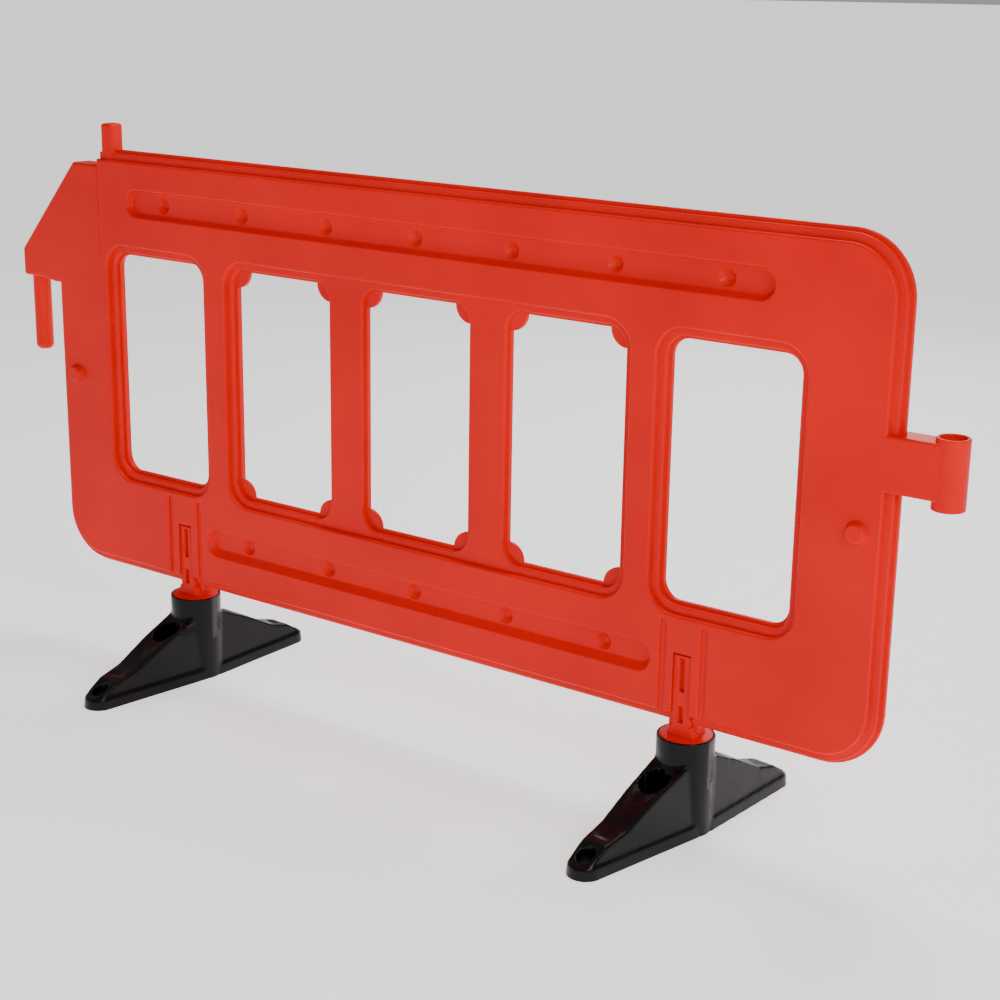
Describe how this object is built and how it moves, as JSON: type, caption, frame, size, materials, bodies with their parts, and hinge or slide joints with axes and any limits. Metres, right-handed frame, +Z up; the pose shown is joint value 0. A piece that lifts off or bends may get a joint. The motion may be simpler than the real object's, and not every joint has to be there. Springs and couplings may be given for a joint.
{
  "type": "plastic pedestrian and traffic barrier",
  "caption": "Blow-moulded orange-red plastic barrier panel with windows, a hook-on coupling pin and eye at its ends, standing on black swivelling anti-trip feet.",
  "frame": {"origin": "on the ground, under the middle of the bounding box", "axes": "+X along the barrier from the coupling pin to the coupling eye, +Z up, the front face with the studs looks along -Y"},
  "size_m": [2, 0.545, 1.063],
  "materials": {
    "panel_plastic": "satin blow-moulded polyethylene",
    "stem_plastic": "satin injection-moulded polyethylene",
    "foot_rubber": "moulded recycled compound, slightly glossy",
    "steel": "zinc plated"
  },
  "bodies": {
    "panel_assembly": {"barrier_panel": "panel_plastic", "swivel_stem_left": "stem_plastic", "swivel_stem_right": "stem_plastic", "retaining_washer_left": "steel", "retaining_washer_right": "steel", "pivot_bolt_left": "steel", "pivot_bolt_right": "steel", "captive_nut_left": "steel", "captive_nut_right": "steel"},
    "left_foot": {"foot_left": "foot_rubber"},
    "right_foot": {"foot_right": "foot_rubber"}
  },
  "joints": [
    {"name": "foot_swivel_left", "type": "hinge", "parent": "panel_assembly", "child": "left_foot", "pos_m": [-0.5665, 0, 0.09], "axis": [0, 0, 1], "continuous": true},
    {"name": "foot_swivel_right", "type": "hinge", "parent": "panel_assembly", "child": "right_foot", "pos_m": [0.5575, 0, 0.09], "axis": [0, 0, 1], "continuous": true}
  ]
}
